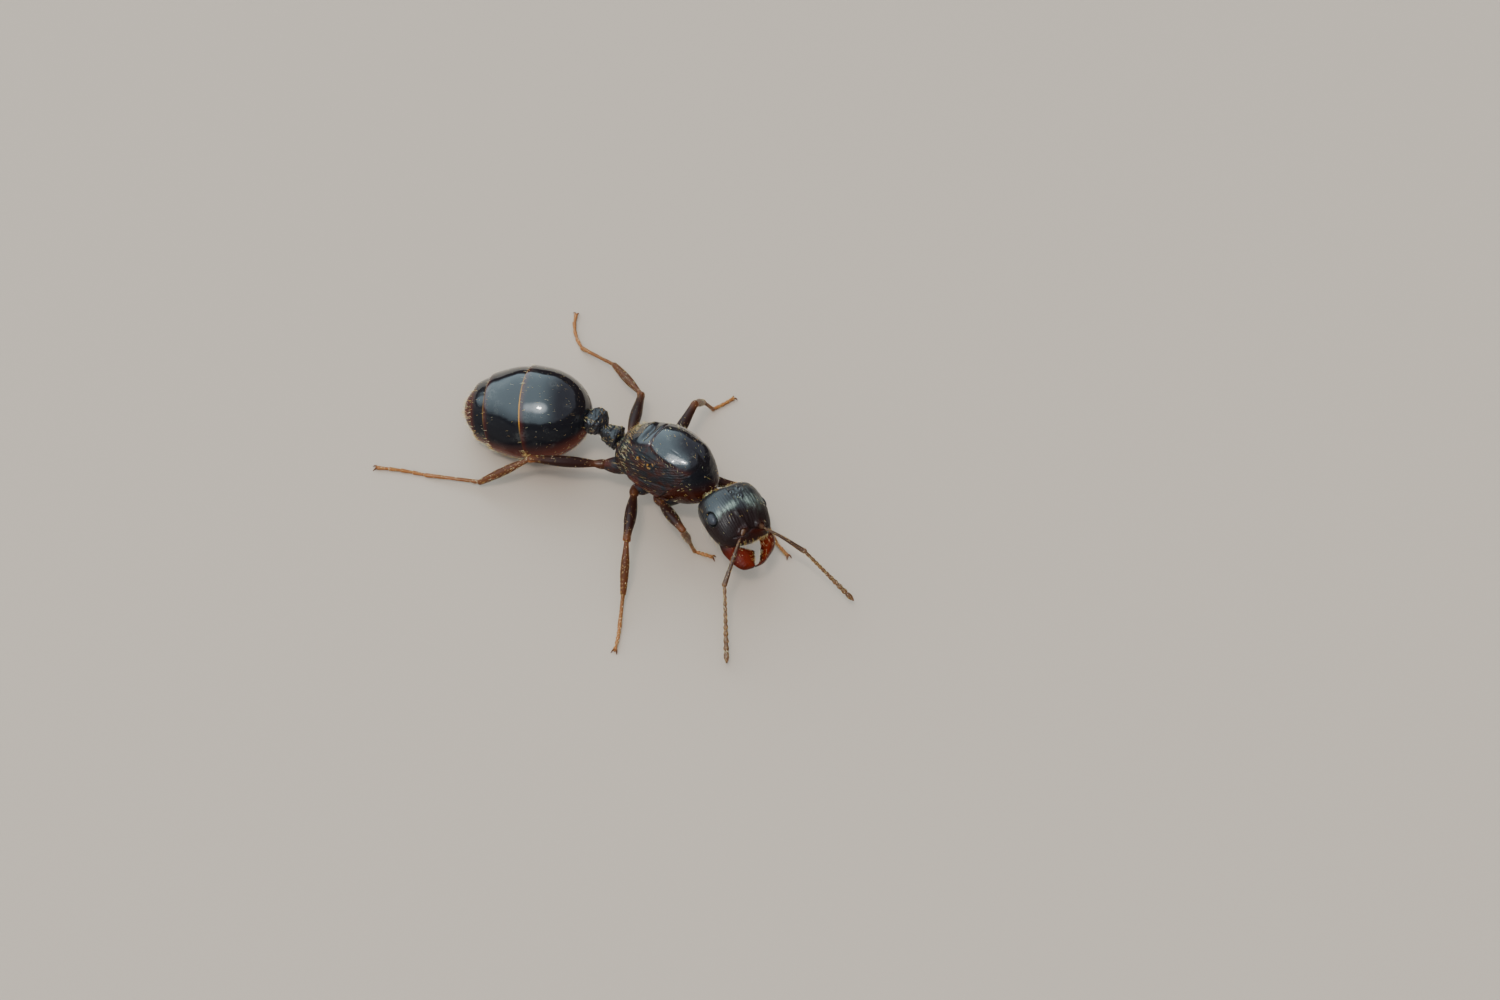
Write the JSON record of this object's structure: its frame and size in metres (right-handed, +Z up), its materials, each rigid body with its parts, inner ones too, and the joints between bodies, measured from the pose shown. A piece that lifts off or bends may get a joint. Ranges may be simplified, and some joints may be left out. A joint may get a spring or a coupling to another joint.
{
  "type": "ant figure",
  "caption": "Life-size queen harvester ant without wings, standing with a turned head, open toothed jaws, forward feelers, a knobbed waist and a large glossy gaster.",
  "frame": {"origin": "on the floor under the middle of the whole ant, legs and feelers included", "axes": "+X the way the trunk faces, +Y to the ant's left, +Z up"},
  "size_m": [0.0202, 0.0164, 0.005],
  "materials": {
    "gaster_shell": "glossy black shell, dark red-brown where thin",
    "trunk_shell": "glossy black shell, finely pitted",
    "trunk_side": "dark red-brown, finely wrinkled",
    "waist_shell": "satin black, wrinkled",
    "head_shell": "satin black with fine lengthwise grooves",
    "mandible": "dark red-brown, glossy",
    "antenna": "brown with a pale down",
    "leg": "dark brown to orange brown, satin",
    "eye": "smooth blue-grey"
  },
  "bodies": {
    "root": {"basitarsus_front_left": "leg", "basitarsus_front_right": "leg", "basitarsus_hind_left": "leg", "basitarsus_hind_right": "leg", "basitarsus_middle_left": "leg", "basitarsus_middle_right": "leg", "coxa_front_left": "trunk_side", "coxa_front_right": "trunk_side", "coxa_hind_left": "trunk_side", "coxa_hind_right": "trunk_side", "coxa_middle_left": "trunk_side", "coxa_middle_right": "trunk_side", "eye_left": "eye", "eye_right": "eye", "femur_front_left": "leg", "femur_front_right": "leg", "femur_hind_left": "leg", "femur_hind_right": "leg", "femur_middle_left": "leg", "femur_middle_right": "leg", "funiculus_left": "antenna", "funiculus_right": "antenna", "gaster_1": "gaster_shell", "gaster_2": "gaster_shell", "gaster_3": "gaster_shell", "gaster_4": "gaster_shell", "head": "head_shell", "mandible_left": "mandible", "mandible_right": "mandible", "mesopleura": "trunk_side", "neck": "trunk_side", "ocellus_front": "eye", "ocellus_left": "eye", "ocellus_right": "eye", "petiole": "waist_shell", "postpetiole": "waist_shell", "pronotum": "trunk_shell", "propodeum": "trunk_side", "scape_left": "antenna", "scape_right": "antenna", "scutellum": "trunk_shell", "scutum": "trunk_shell", "tarsus_front_left": "leg", "tarsus_front_right": "leg", "tarsus_hind_left": "leg", "tarsus_hind_right": "leg", "tarsus_middle_left": "leg", "tarsus_middle_right": "leg", "tibia_front_left": "leg", "tibia_front_right": "leg", "tibia_hind_left": "leg", "tibia_hind_right": "leg", "tibia_middle_left": "leg", "tibia_middle_right": "leg"}
  },
  "joints": []
}
